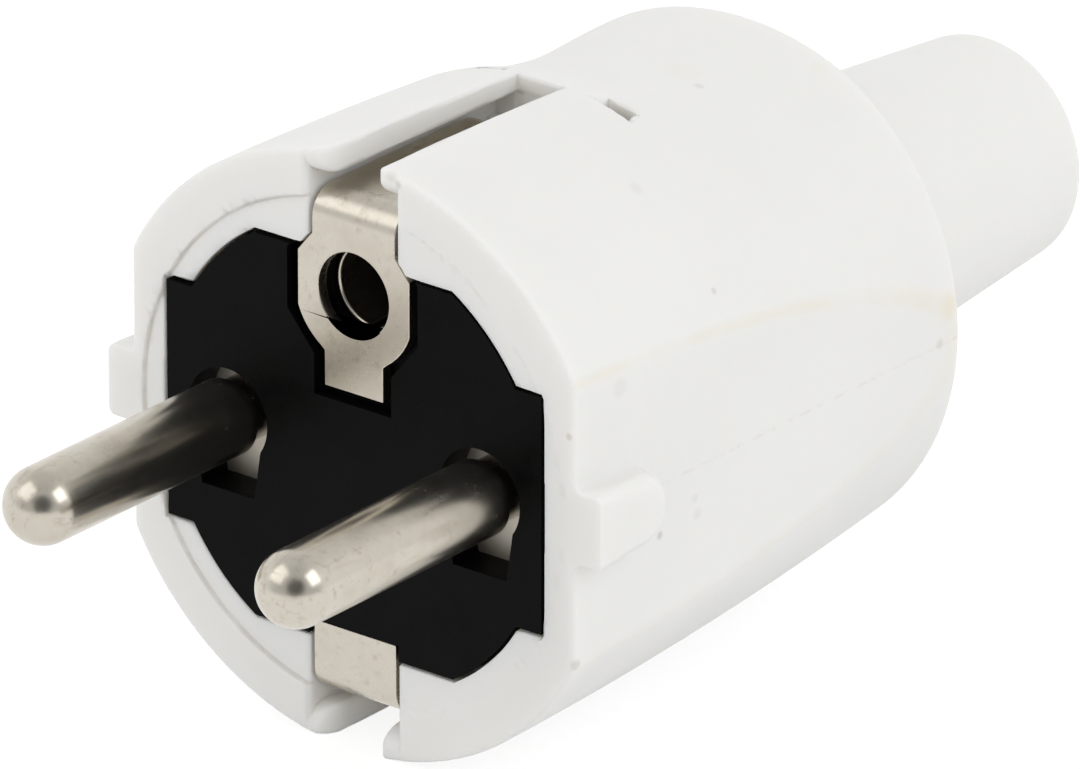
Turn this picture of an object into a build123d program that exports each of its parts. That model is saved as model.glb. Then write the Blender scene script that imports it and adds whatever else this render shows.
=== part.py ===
from build123d import *
import os
from math import cos, radians, sin, sqrt

# Grounded mains plug, two round pins, side earth contacts and an earth pin hole.
# Millimetres. +Z up, on the earth hole's side. +Y runs from the pins to the cable.
# The origin is on the axis, midway between the pins, in the plane of the housing's front rim.

# Pins
pin_spacing = 19.0
pin_diameter = 4.8
pin_projection = 19.0
pin_neck_radius = 2.0  # the shaft is turned thinner behind the rim
spigot_radius = 1.75
spigot_length = 3.8

# Housing: outer skin
face_radius = 18.9
shoulder_radius = 16.6
body_length = 36.9
body_swell = 0.45  # how far the barrel stands outside a straight cone at half its length
face_edge_radius = 0.2
shoulder_edge_radius = 0.8
flat_half_width = 16.65  # the two side flats
spout_root_radius = 9.3
spout_end_radius = 7.2
spout_length = 24.3
spout_root_fillet = 0.8
spout_end_fillet = 0.7
rib_reach = 18.6  # the key rib's outer face, from the axis
rib_half_height = 2.3
rib_length = 6.6
rib_edge_radius = 0.3
rib_edge_share = 0.8  # of the rib's height, at most, is rounded off
scoop_top = 15.95  # height over the axis of the rear top, scooped out behind the earth slot
scoop_middle = 31.0
scoop_radius = 38.0  # seen from the side
scoop_drop = 3.2  # the scoop is turned about an axis this far below the plug's own
rim_recess_radius = 15.9
rim_recess_depth = 0.4

# Housing: earth slots, top and bottom
slot_half_width = 3.4
slot_length = 18.3
lip_gap_half_width = 2.15
lip_underside = 16.9
lip_corner_radius = 0.4  # the lips' front corners, seen from above
lip_lead_length = 1.6  # the lips grow thinner towards the front over this length
lip_lead_height = 1.0  # and by this much
slot_floor = 15.2  # the slot's end, behind the earth strap, is this far from the axis

# Housing: inside
inner_wall_step = 0.8  # the cavity behind the carrier's seat is this much smaller all round
cavity_end_gap = 0.3  # from the carrier back's plate to the end of the carrier's cavity
chamber_radius = 13.3
chamber_end = 28.0
throat_length = 5.0
cable_bore_radius = 4.6
bore_edge_radius = 0.6

# Latch pockets in the top of the housing
latch_offset = 4.9
pocket_radius = 1.5
pocket_rear = 20.9
pocket_front = 18.5
pocket_slope = 20.0  # degrees
latch_half_width = 1.3
latch_window_length = 1.1
latch_gap = 0.15
latch_nose_height = 14.6
latch_nose_thickness = 0.8

# Contact carrier
carrier_front = 0.1
plate_thickness = 2.4
plate_margin = 4.8  # from a pin's axis to the round plate's edge
plate_half_height = 12.2
band_margin = 4.6  # from a pin's axis to the band's end
band_half_height = 7.5
carrier_gap = 0.2
block_inset = 1.1  # the carrier's rear block, inside the plate's outline
block_depth = 10.5
spine_half_width = 3.1
spine_gap = 0.1
pin_hole_radius = 3.0
sight_top = -0.8
sight_top_half_width = 2.6
sight_bottom = -4.8
sight_bottom_half_width = 2.0

# Earth strap, one bent strip
strap_thickness = 0.8
strap_half_width = 3.1
strap_front = 0.2
strap_outside = 16.0
front_bend_radius = 0.9  # inside radius
rear_bend_radius = 1.6  # inside radius
bridge_rear = 16.5
earth_hole_height = 10.1
earth_hole_radius = 2.65
neck_height = 13.3
ring_half_width = 4.2
ring_top = 12.0
ring_bottom = 8.5
tab_half_width = 2.2
tab_shoulder = 6.1
tab_bottom = 3.9
lower_lip_height = 11.3  # from the axis to the inner end of the lower contact's front lip
strap_recess_margin = 0.7

# Earth sleeve behind the strap's hole
sleeve_bore_radius = 2.45
sleeve_wall = 0.35
sleeve_front = 2.0
sleeve_length = 10.0
sleeve_slit = 0.7

# Terminal blocks on the two pins
terminal_width = 5.8
terminal_top = 3.0
terminal_bottom = 5.1
terminal_length = 8.4
terminal_chamfer = 0.4
wire_way_width = 3.6
wire_way_height = 3.4
wire_way_bottom = -2.2
wire_way_depth = 4.2
guard_thickness = 0.4
fit_gap = 0.1

# Screws, nut and washer
terminal_screw_radius = 1.6
screw_head_radius = 2.4
screw_head_height = 1.5
driver_slot_width = 0.8
driver_slot_depth = 0.8
thread_gap = 0.05
earth_screw_height = -8.3
earth_screw_end = 1.0  # shank past the nut
earth_nut_width = 5.0
earth_nut_thickness = 2.4
earth_washer_width = 5.8
earth_washer_thickness = 0.8
carrier_screw_radius = 1.4
carrier_screw_length = 9.0
clamp_screw_length = 5.8

# Carrier back and cord clamp
back_thickness = 2.0
back_rim_width = 1.2
wire_hole_radius = 2.6
cradle_end = 30.0
cradle_wall = 1.8
cradle_margin = 0.3  # the cradle's bore over the cable bore
earth_wire_window = 2.6
clamp_centre = 25.5
clamp_width = 5.4
clamp_thickness = 1.6
clamp_squeeze = 0.9  # how far the clamp's arch sinks below a round cable's own circle
clamp_screw_offset = 8.8
boss_radius = 2.5
boss_height = 5.0

# Worked out from the sizes above
pin_radius = pin_diameter / 2
pin_offset = pin_spacing / 2
plate_radius = pin_offset + plate_margin
band_half_width = pin_offset + band_margin
total_length = body_length + spout_length
far = 4 * total_length  # longer than anything it has to cut through
plate_back = carrier_front + plate_thickness
block_rear = plate_back + block_depth
strap_back = strap_front + strap_thickness
strap_inside = strap_outside - strap_thickness
bridge_front = bridge_rear - strap_thickness
terminal_rear = plate_back + terminal_length
terminal_screw_place = terminal_rear - wire_way_depth / 2
back_rear = bridge_rear + back_thickness
sleeve_radius = sleeve_bore_radius + sleeve_wall
cradle_bore = cable_bore_radius + cradle_margin
cradle_radius = cradle_bore + cradle_wall
earth_nut_front = bridge_front - earth_nut_thickness
washer_rear = bridge_rear + earth_washer_thickness
chamber_start = back_rear + cavity_end_gap
sides = {"left": -1, "right": 1}

os.makedirs("parts", exist_ok=True)


def across(y):
    """Plane square to the plug's axis, y behind the rim: its x is X, its y is Z, and it faces the pins."""
    return Plane(origin=(0, y, 0), x_dir=(1, 0, 0), z_dir=(0, -1, 0))


def lengthwise(x):
    """Plane along the plug's axis, at x: its x is Y, its y is Z."""
    return Plane(origin=(x, 0, 0), x_dir=(0, 1, 0), z_dir=(1, 0, 0))


def barrel_radius(y):
    """The housing's outer radius at y, on a parabola that follows the barrel's arc closely."""
    part_way = y / body_length
    cone = face_radius + (shoulder_radius - face_radius) * part_way
    return cone + 4 * body_swell * part_way * (1 - part_way)


def carrier_outline(grow):
    """The carrier's face outline: a round plate, flat at top and bottom, with a square-ended band."""
    Circle(plate_radius + grow)
    Rectangle(far, 2 * (plate_half_height + grow), mode=Mode.INTERSECT)
    Rectangle(2 * (band_half_width + grow), 2 * (band_half_height + grow))


def front_plate_outline(grow, top):
    """The earth strap's front plate, grown by a margin: a neck, a bevelled ring and a tab."""
    right = [
        (strap_half_width + grow, top),
        (strap_half_width + grow, neck_height),
        (ring_half_width + grow, ring_top),
        (ring_half_width + grow, ring_bottom - grow / 2),
        (tab_half_width + grow, tab_shoulder - grow / 2),
        (tab_half_width + grow, tab_bottom - grow),
    ]
    left = [(-x, z) for x, z in reversed(right)]
    Polygon(*right, *left)


def slotted_screw(seat, radius, head_radius, length):
    """A cheese-head screw: its head stands on the plane seat, and its shank goes the other way."""
    with BuildSketch(seat) as shank:
        Circle(radius)
    extrude(shank.sketch, amount=-length)
    with BuildSketch(seat) as head:
        Circle(head_radius)
    extrude(head.sketch, amount=screw_head_height)
    with BuildSketch(seat.offset(screw_head_height)) as driver_slot:
        Rectangle(4 * head_radius, driver_slot_width)
    extrude(driver_slot.sketch, amount=-driver_slot_depth, mode=Mode.SUBTRACT)


# Housing, one soft moulding: barrel, side flats, key ribs, earth slots, latch pockets and spout
with BuildPart() as housing:
    # Outer skin: the barrel, its flat rear shoulder and the cable spout, turned about the axis
    with BuildSketch(Plane.XY) as skin:
        with BuildLine():
            Polyline((0, total_length), (0, 0), (face_radius, 0))
            ThreePointArc(
                (face_radius, 0),
                (barrel_radius(body_length / 2), body_length / 2),
                (shoulder_radius, body_length),
            )
            Polyline(
                (shoulder_radius, body_length),
                (spout_root_radius, body_length),
                (spout_end_radius, total_length),
                (0, total_length),
            )
        make_face()
        for corner, radius in (
            ((face_radius, 0), face_edge_radius),
            ((shoulder_radius, body_length), shoulder_edge_radius),
            ((spout_root_radius, body_length), spout_root_fillet),
            ((spout_end_radius, total_length), spout_end_fillet),
        ):
            fillet(skin.vertices().sort_by_distance(corner)[0], radius)
    revolve(axis=Axis.Y)

    # The two side flats
    with BuildSketch(across(far / 2)):
        Rectangle(2 * flat_half_width, far)
    extrude(amount=far, mode=Mode.INTERSECT)

    # Gaps between the earth slots' lips, top and bottom; the lips' front corners are rounded
    with BuildSketch(Plane.XY, mode=Mode.PRIVATE) as lip_gap:
        with BuildLine():
            lip_front = lip_gap_half_width + lip_corner_radius
            Polyline(
                (lip_gap_half_width, lip_corner_radius),
                (lip_gap_half_width, slot_length),
                (0, slot_length),
                (0, -lip_corner_radius),
                (lip_front, -lip_corner_radius),
                (lip_front, 0),
            )
            CenterArc((lip_front, lip_corner_radius), lip_corner_radius, 180, 90)
        make_face()
        mirror(about=Plane.YZ)
    for way in (1, -1):
        with BuildSketch(Plane.XY.offset(way * slot_floor)):
            add(lip_gap.sketch)
        extrude(amount=way * far, mode=Mode.SUBTRACT)

    # Key ribs on the flats, round at the rear
    for side in sides.values():
        with BuildSketch(Plane(origin=(0, 0, 0), x_dir=(0, 1, 0), z_dir=(side, 0, 0))):
            Rectangle(rib_length - rib_half_height, 2 * rib_half_height, align=(Align.MIN, Align.CENTER))
            with Locations((rib_length - rib_half_height, 0)):
                Circle(rib_half_height)
        extrude(amount=rib_reach)
        outer_face = housing.faces().filter_by(Axis.X).sort_by(Axis.X)[-1 if side > 0 else 0]
        fillet(outer_face.edges(), min(rib_edge_radius, rib_edge_share * (rib_reach - flat_half_width)))

    # The scooped rear top: a ring that lies round a lower axis is cut out of it
    ring_radius = scoop_top + scoop_drop + scoop_radius
    with BuildSketch(Plane.XY.offset(-scoop_drop)):
        with Locations((ring_radius, scoop_middle)):
            Circle(scoop_radius)
    revolve(axis=Axis((0, 0, -scoop_drop), (0, 1, 0)), mode=Mode.SUBTRACT)

    # Latch pockets: two round channels that run forward and down from the scoop to a wall
    slope = radians(pocket_slope)
    scoop_reach = ring_radius - sqrt(scoop_radius**2 - (pocket_rear - scoop_middle) ** 2)
    pocket_rim_height = sqrt(scoop_reach**2 - latch_offset**2) - scoop_drop
    pocket_axis_height = pocket_rim_height + pocket_radius / cos(slope)
    for side in sides.values():
        mouth = Plane(
            origin=(side * latch_offset, pocket_rear, pocket_axis_height),
            x_dir=(1, 0, 0),
            z_dir=(0, -cos(slope), -sin(slope)),
        )
        with BuildSketch(mouth):
            Circle(pocket_radius)
        extrude(amount=(pocket_rear - pocket_front) / cos(slope), mode=Mode.SUBTRACT)
        with BuildSketch(mouth):
            Circle(pocket_radius)
        extrude(amount=-body_length, mode=Mode.SUBTRACT)

    # Shallow recess inside the front rim, and the stepped seat of the carrier's plate
    with BuildSketch(across(rim_recess_depth)):
        Circle(rim_recess_radius)
    extrude(amount=far, mode=Mode.SUBTRACT)
    with BuildSketch(across(plate_back)):
        carrier_outline(carrier_gap)
    extrude(amount=far, mode=Mode.SUBTRACT)
    with BuildSketch(across(strap_back + spine_gap)):
        front_plate_outline(carrier_gap, far)
    extrude(amount=far, mode=Mode.SUBTRACT)

    # Cavity for the carrier, then the round chamber, its throat and the cable bore
    with BuildSketch(across(chamber_start)):
        carrier_outline(-inner_wall_step)
    extrude(amount=chamber_start, mode=Mode.SUBTRACT)
    with BuildSketch(Plane.XY):
        with BuildLine():
            Polyline(
                (0, chamber_start),
                (chamber_radius, chamber_start),
                (chamber_radius, chamber_end),
                (cable_bore_radius, chamber_end + throat_length),
                (cable_bore_radius, far),
                (0, far),
                close=True,
            )
        make_face()
    revolve(axis=Axis.Y, mode=Mode.SUBTRACT)
    bore_edge = housing.edges().filter_by(GeomType.CIRCLE).sort_by(Axis.Y)[-1]
    fillet(bore_edge, bore_edge_radius)

    # Windows through which the carrier's latches are freed
    for side in sides.values():
        with BuildSketch(Plane.XY):
            with Locations((side * latch_offset, pocket_front)):
                Rectangle(2 * latch_half_width, latch_window_length, align=(Align.CENTER, Align.MIN))
        extrude(amount=far, mode=Mode.SUBTRACT)

    # Earth slots, top and bottom: a wide channel, open inwards as far as the strap's bridge; the
    # undersides of its lips sweep outwards to their front ends
    with BuildSketch(lengthwise(0)):
        with BuildLine():
            lip_end = lip_underside + lip_lead_height
            channel_rear = bridge_rear + cavity_end_gap
            EllipticalCenterArc(
                (lip_lead_length, lip_end), lip_lead_length, lip_lead_height, start_angle=180, arc_size=90
            )
            Polyline(
                (lip_lead_length, lip_underside),
                (channel_rear, lip_underside),
                (channel_rear, 0),
                (-lip_lead_length, 0),
                (-lip_lead_length, lip_end),
                (0, lip_end),
            )
        make_face()
        mirror(about=Plane.XZ)
    extrude(amount=slot_half_width, both=True, mode=Mode.SUBTRACT)
    with BuildSketch(across(slot_length)):
        for middle in ((slot_floor + lip_underside) / 2, -(slot_floor + lip_underside) / 2):
            with Locations((0, middle)):
                Rectangle(2 * slot_half_width, lip_underside - slot_floor)
    extrude(amount=far, mode=Mode.SUBTRACT)
housing.part.label = "housing"
export_step(housing.part, "parts/housing.step")


# Contact carrier, one hard moulding: face plate, block with two terminal pockets, and a spine
with BuildPart() as contact_carrier:
    with BuildSketch(across(plate_back)):
        carrier_outline(0)
    extrude(amount=plate_thickness)
    with BuildSketch(across(block_rear)):
        carrier_outline(-block_inset)
    extrude(amount=block_depth)

    # The spine that the earth strap is bent around
    spine_front = strap_back + spine_gap
    spine_rear = bridge_front - spine_gap
    spine_half_height = strap_inside - spine_gap
    with BuildSketch(lengthwise(0)) as spine:
        with Locations(((spine_front + spine_rear) / 2, 0)):
            Rectangle(spine_rear - spine_front, 2 * spine_half_height)
        fillet(spine.vertices().group_by(Axis.X)[0], front_bend_radius)
        fillet(spine.vertices().group_by(Axis.X)[-1], rear_bend_radius)
    extrude(amount=spine_half_width, both=True)

    # Recesses for the strap's front plate and for its lower lip
    with BuildSketch(across(spine_front)):
        front_plate_outline(strap_recess_margin, far)
    extrude(amount=far, mode=Mode.SUBTRACT)
    with BuildSketch(across(spine_front)):
        with Locations((0, -lower_lip_height + fit_gap)):
            Rectangle(2 * slot_half_width, far, align=(Align.CENTER, Align.MAX))
    extrude(amount=far, mode=Mode.SUBTRACT)

    # Bore of the earth sleeve
    with BuildSketch(across(sleeve_front + sleeve_length)):
        with Locations((0, earth_hole_height)):
            Circle(sleeve_radius + thread_gap)
    extrude(amount=far, mode=Mode.SUBTRACT)

    for side in sides.values():
        # Round hole and tapered sight opening around each pin
        with BuildSketch(across(block_rear)):
            with Locations((side * pin_offset, 0)):
                Circle(pin_hole_radius)
            with BuildLine():
                Polyline(
                    (side * pin_offset - sight_top_half_width, sight_top),
                    (side * pin_offset + sight_top_half_width, sight_top),
                    (side * pin_offset + sight_bottom_half_width, sight_bottom),
                    (side * pin_offset - sight_bottom_half_width, sight_bottom),
                    close=True,
                )
            make_face()
        extrude(amount=far, mode=Mode.SUBTRACT)
        # Terminal pocket, open to the rear, with a way down for the screw's head
        with BuildSketch(across(block_rear)):
            with Locations((side * pin_offset, (terminal_top - terminal_bottom) / 2)):
                Rectangle(terminal_width + 2 * fit_gap, terminal_top + terminal_bottom + 2 * fit_gap)
        extrude(amount=block_depth, mode=Mode.SUBTRACT)
        with BuildSketch(Plane.XY):
            with Locations((side * pin_offset, terminal_screw_place)):
                Rectangle(terminal_width, terminal_width)
        extrude(amount=-far, mode=Mode.SUBTRACT)

    # In the spine's rear: the earth nut's pocket, its screw's hole and the carrier screw's hole
    with BuildSketch(across(spine_rear)):
        with Locations((0, earth_screw_height)):
            Rectangle(earth_nut_width + 2 * fit_gap, earth_nut_width + 2 * fit_gap)
    extrude(amount=earth_nut_thickness, mode=Mode.SUBTRACT)
    with BuildSketch(across(spine_rear)):
        with Locations((0, earth_screw_height)):
            Circle(terminal_screw_radius + thread_gap)
    extrude(amount=earth_nut_thickness + 2 * earth_screw_end, mode=Mode.SUBTRACT)
    with BuildSketch(across(spine_rear)):
        Circle(carrier_screw_radius + thread_gap)
    extrude(amount=carrier_screw_length, mode=Mode.SUBTRACT)
contact_carrier.part.label = "contact_carrier"
export_step(contact_carrier.part, "parts/contact_carrier.step")


# Pins, turned, with a domed tip and a spigot riveted into the terminal block
for name, side in sides.items():
    pin_x = side * pin_offset
    with BuildPart() as pin:
        with BuildSketch(Plane(origin=(pin_x, 0, 0))):
            with BuildLine():
                Polyline(
                    (0, -pin_projection),
                    (0, plate_back + spigot_length),
                    (spigot_radius, plate_back + spigot_length),
                    (spigot_radius, plate_back),
                    (pin_neck_radius, plate_back),
                    (pin_neck_radius, 0),
                    (pin_radius, 0),
                    (pin_radius, pin_radius - pin_projection),
                )
                CenterArc((0, pin_radius - pin_projection), pin_radius, 270, 90)
            make_face()
        revolve(axis=Axis((pin_x, 0, 0), (0, 1, 0)))
    pin.part.label = f"{name}_pin"
    export_step(pin.part, f"parts/{name}_pin.step")


# Terminal blocks
for name, side in sides.items():
    block_x = side * pin_offset
    with BuildPart() as terminal:
        with BuildSketch(across(terminal_rear)):
            with Locations((block_x, (terminal_top - terminal_bottom) / 2)):
                Rectangle(terminal_width, terminal_top + terminal_bottom)
        extrude(amount=terminal_length)
        chamfer(terminal.edges().filter_by(Axis.Y), terminal_chamfer)
        with BuildSketch(across(plate_back + spigot_length)):
            with Locations((block_x, 0)):
                Circle(spigot_radius + thread_gap)
        extrude(amount=far, mode=Mode.SUBTRACT)
        with BuildSketch(across(terminal_rear)):
            with Locations((block_x, wire_way_bottom)):
                Rectangle(wire_way_width, wire_way_height, align=(Align.CENTER, Align.MIN))
        extrude(amount=wire_way_depth, mode=Mode.SUBTRACT)
        with BuildSketch(Plane.XY.offset(wire_way_bottom)):
            with Locations((block_x, terminal_screw_place)):
                Circle(terminal_screw_radius + thread_gap)
        extrude(amount=-far, mode=Mode.SUBTRACT)
    terminal.part.label = f"{name}_terminal"
    export_step(terminal.part, f"parts/{name}_terminal.step")

    # Clamping screw from below, up to the wire guard
    with BuildPart() as terminal_screw:
        seat = Plane(
            origin=(block_x, terminal_screw_place, -terminal_bottom), x_dir=(1, 0, 0), z_dir=(0, 0, -1)
        )
        slotted_screw(seat, terminal_screw_radius, screw_head_radius, terminal_bottom + wire_way_bottom)
    terminal_screw.part.label = f"{name}_terminal_screw"
    export_step(terminal_screw.part, f"parts/{name}_terminal_screw.step")

    # Wire guard, a leaf on the floor of the wire way with its rear end bent down over the block
    with BuildPart() as wire_guard:
        with BuildSketch(lengthwise(block_x)):
            with BuildLine():
                guard_front = terminal_rear - wire_way_depth + fit_gap
                guard_rear = terminal_rear + fit_gap
                Polyline(
                    (guard_front, wire_way_bottom),
                    (guard_rear, wire_way_bottom),
                    (guard_rear, wire_way_bottom - guard_thickness),
                    (guard_rear + guard_thickness, wire_way_bottom - guard_thickness),
                    (guard_rear + guard_thickness, wire_way_bottom + guard_thickness),
                    (guard_front, wire_way_bottom + guard_thickness),
                    close=True,
                )
            make_face()
        extrude(amount=wire_way_width / 2 - fit_gap, both=True)
    wire_guard.part.label = f"{name}_wire_guard"
    export_step(wire_guard.part, f"parts/{name}_wire_guard.step")


# Earth strap: one strip bent round the spine, with the two side contacts and the drilled front plate
with BuildPart() as earth_strap:
    plate_join = (neck_height + strap_inside - front_bend_radius) / 2
    front_middle = strap_front + strap_thickness / 2
    outer_middle = strap_outside - strap_thickness / 2
    bridge_middle = bridge_rear - strap_thickness / 2
    front_turn = front_bend_radius + strap_thickness / 2
    rear_turn = rear_bend_radius + strap_thickness / 2
    with BuildSketch(lengthwise(0)):
        with BuildLine():
            strip_path = FilletPolyline(
                (front_middle, plate_join),
                (front_middle, outer_middle),
                (bridge_middle, outer_middle),
                (bridge_middle, -outer_middle),
                (front_middle, -outer_middle),
                (front_middle, -lower_lip_height),
                radius=(front_turn, rear_turn, rear_turn, front_turn),
            )
        trace(strip_path, line_width=strap_thickness)
    extrude(amount=strap_half_width, both=True)
    with BuildSketch(across(strap_back)):
        front_plate_outline(0, plate_join)
        with Locations((0, earth_hole_height)):
            Circle(earth_hole_radius, mode=Mode.SUBTRACT)
    extrude(amount=strap_thickness)
    # Holes in the bridge for the earth screw and the carrier screw
    with BuildSketch(across(bridge_rear)):
        with Locations((0, earth_screw_height)):
            Circle(terminal_screw_radius + thread_gap)
        Circle(carrier_screw_radius + thread_gap)
    extrude(amount=strap_thickness, mode=Mode.SUBTRACT)
earth_strap.part.label = "earth_strap"
export_step(earth_strap.part, "parts/earth_strap.step")


# Earth sleeve, rolled spring sheet with an open seam
with BuildPart() as earth_sleeve:
    with BuildSketch(across(sleeve_front + sleeve_length)):
        with Locations((0, earth_hole_height)):
            Circle(sleeve_radius)
            Circle(sleeve_bore_radius, mode=Mode.SUBTRACT)
        with Locations((0, earth_hole_height - sleeve_radius)):
            Rectangle(sleeve_slit, 4 * sleeve_wall, mode=Mode.SUBTRACT)
    extrude(amount=sleeve_length)
earth_sleeve.part.label = "earth_sleeve"
export_step(earth_sleeve.part, "parts/earth_sleeve.step")


# Earth terminal: a nut in the spine, a square washer, and the screw through both
with BuildPart() as earth_nut:
    with BuildSketch(across(bridge_front)):
        with Locations((0, earth_screw_height)):
            Rectangle(earth_nut_width, earth_nut_width)
            Circle(terminal_screw_radius + thread_gap, mode=Mode.SUBTRACT)
    extrude(amount=earth_nut_thickness)
    chamfer(earth_nut.edges().filter_by(Axis.Y), terminal_chamfer)
earth_nut.part.label = "earth_nut"
export_step(earth_nut.part, "parts/earth_nut.step")

with BuildPart() as earth_washer:
    with BuildSketch(across(washer_rear)):
        with Locations((0, earth_screw_height)):
            Rectangle(earth_washer_width, earth_washer_width)
            Circle(terminal_screw_radius + thread_gap, mode=Mode.SUBTRACT)
    extrude(amount=earth_washer_thickness)
earth_washer.part.label = "earth_washer"
export_step(earth_washer.part, "parts/earth_washer.step")

with BuildPart() as earth_screw:
    seat = Plane(origin=(0, washer_rear, earth_screw_height), x_dir=(1, 0, 0), z_dir=(0, 1, 0))
    slotted_screw(
        seat, terminal_screw_radius, screw_head_radius, washer_rear - earth_nut_front + earth_screw_end
    )
earth_screw.part.label = "earth_screw"
export_step(earth_screw.part, "parts/earth_screw.step")


# Carrier back, one hard moulding: a plate on a rim, the cable cradle, screw bosses and latch noses
with BuildPart() as carrier_back:
    with BuildSketch(across(back_rear)):
        carrier_outline(-block_inset)
    extrude(amount=back_rear - block_rear)
    with BuildSketch(across(bridge_rear)):
        carrier_outline(-block_inset - back_rim_width)
    extrude(amount=bridge_rear - block_rear, mode=Mode.SUBTRACT)
    with BuildSketch(across(bridge_rear)):
        Rectangle(2 * slot_half_width, far)
    extrude(amount=bridge_rear - block_rear, mode=Mode.SUBTRACT)

    # Cradle: the lower half of a tube under the cable, and a screw boss on either side
    with BuildSketch(across(cradle_end)):
        Circle(cradle_radius)
        Rectangle(far, far, align=(Align.CENTER, Align.MIN), mode=Mode.SUBTRACT)
    extrude(amount=cradle_end - back_rear)
    with BuildSketch(Plane.XY):
        for side in sides.values():
            with Locations((side * clamp_screw_offset, clamp_centre)):
                Circle(boss_radius)
            with Locations((side * cradle_radius, clamp_centre)):
                Rectangle(2 * (clamp_screw_offset - cradle_radius), 2 * boss_radius)
    extrude(amount=-boss_height)
    with BuildSketch(across(cradle_end)):
        Circle(cradle_bore)
    extrude(amount=cradle_end - back_rear, mode=Mode.SUBTRACT)
    with BuildSketch(Plane.XY):
        for side in sides.values():
            with Locations((side * clamp_screw_offset, clamp_centre)):
                Circle(carrier_screw_radius + thread_gap)
    extrude(amount=-boss_height, mode=Mode.SUBTRACT)

    # Ways through the plate for the wires, the earth screw's head and the carrier screw
    with BuildSketch(across(back_rear)):
        for side in sides.values():
            with Locations((side * pin_offset, 0)):
                Circle(wire_hole_radius)
        with Locations((0, earth_screw_height)):
            Rectangle(2 * slot_half_width, 2 * slot_half_width)
        Circle(carrier_screw_radius + fit_gap)
    extrude(amount=back_thickness, mode=Mode.SUBTRACT)
    with BuildSketch(Plane.XY.offset(-cradle_bore / 2)):
        with Locations((0, back_rear)):
            Rectangle(2 * earth_wire_window, 2 * earth_wire_window)
    extrude(amount=-cradle_radius, mode=Mode.SUBTRACT)

    # Latch noses that stand up into the housing's windows
    nose_front = pocket_front + latch_gap
    nose_rear = nose_front + latch_nose_thickness
    plate_top = plate_half_height - block_inset
    for side in sides.values():
        with BuildSketch(lengthwise(side * latch_offset)):
            with BuildLine():
                Polyline(
                    (back_rear - back_thickness / 2, plate_top - back_thickness),
                    (back_rear - back_thickness / 2, plate_top),
                    (nose_front, plate_top),
                    (nose_front, latch_nose_height),
                    ((nose_front + nose_rear) / 2, latch_nose_height),
                    (nose_rear, latch_nose_height - latch_nose_thickness),
                    (nose_rear, plate_top - back_thickness),
                    close=True,
                )
            make_face()
        extrude(amount=latch_half_width - latch_gap, both=True)
carrier_back.part.label = "carrier_back"
export_step(carrier_back.part, "parts/carrier_back.step")

with BuildPart() as carrier_screw:
    seat = Plane(origin=(0, back_rear, 0), x_dir=(1, 0, 0), z_dir=(0, 1, 0))
    slotted_screw(seat, carrier_screw_radius, screw_head_radius, carrier_screw_length)
carrier_screw.part.label = "carrier_screw"
export_step(carrier_screw.part, "parts/carrier_screw.step")


# Cord clamp, a saddle over the cable, and its two screws
with BuildPart() as cord_clamp:
    with BuildSketch(across(clamp_centre + clamp_width / 2)):
        with Locations((0, -clamp_squeeze)):
            Circle(cradle_bore + clamp_thickness)
        Rectangle(2 * (clamp_screw_offset + boss_radius), 2 * clamp_thickness)
        with Locations((0, -clamp_squeeze)):
            Circle(cradle_bore, mode=Mode.SUBTRACT)
        Rectangle(far, far, align=(Align.CENTER, Align.MAX), mode=Mode.SUBTRACT)
    extrude(amount=clamp_width)
    with BuildSketch(Plane.XY):
        for side in sides.values():
            with Locations((side * clamp_screw_offset, clamp_centre)):
                Circle(carrier_screw_radius + fit_gap)
    extrude(amount=clamp_thickness, mode=Mode.SUBTRACT)
cord_clamp.part.label = "cord_clamp"
export_step(cord_clamp.part, "parts/cord_clamp.step")

for name, side in sides.items():
    with BuildPart() as clamp_screw:
        seat = Plane(origin=(side * clamp_screw_offset, clamp_centre, clamp_thickness), x_dir=(1, 0, 0))
        slotted_screw(seat, carrier_screw_radius, screw_head_radius, clamp_screw_length)
    clamp_screw.part.label = f"{name}_clamp_screw"
    export_step(clamp_screw.part, f"parts/{name}_clamp_screw.step")
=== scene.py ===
"""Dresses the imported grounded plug: soft white housing, black face, nickel pins and earth strap.

Lengths in the shape functions are millimetres in the part's own frame: X to the right seen from the
pins, Y from the pins to the cable, Z up. They turn into metres when a mesh is made.
"""

import math
from types import SimpleNamespace

import bmesh
import bpy
import numpy as np
from mathutils import Matrix, Vector


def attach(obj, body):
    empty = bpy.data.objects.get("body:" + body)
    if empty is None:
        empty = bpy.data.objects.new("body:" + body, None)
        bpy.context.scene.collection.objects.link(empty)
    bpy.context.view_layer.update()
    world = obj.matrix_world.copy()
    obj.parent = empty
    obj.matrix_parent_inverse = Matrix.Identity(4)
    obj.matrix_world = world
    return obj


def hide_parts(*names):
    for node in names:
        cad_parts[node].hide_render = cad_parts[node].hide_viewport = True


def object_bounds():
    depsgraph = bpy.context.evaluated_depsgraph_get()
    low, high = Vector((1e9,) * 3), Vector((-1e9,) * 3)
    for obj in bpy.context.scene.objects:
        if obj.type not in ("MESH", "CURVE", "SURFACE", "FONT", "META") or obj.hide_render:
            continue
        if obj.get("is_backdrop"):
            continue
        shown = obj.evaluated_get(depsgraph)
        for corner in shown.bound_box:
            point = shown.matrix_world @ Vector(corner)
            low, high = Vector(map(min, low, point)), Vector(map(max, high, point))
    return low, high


bl_info = {
    "name": "Grounded Plug",
    "version": (1, 0, 0),
    "blender": (4, 5, 0),
    "location": "3D Viewport > Sidebar > Plug",
    "description": "Builds the looks of a grounded plug around its packed solids",
    "category": "Object",
}

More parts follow.
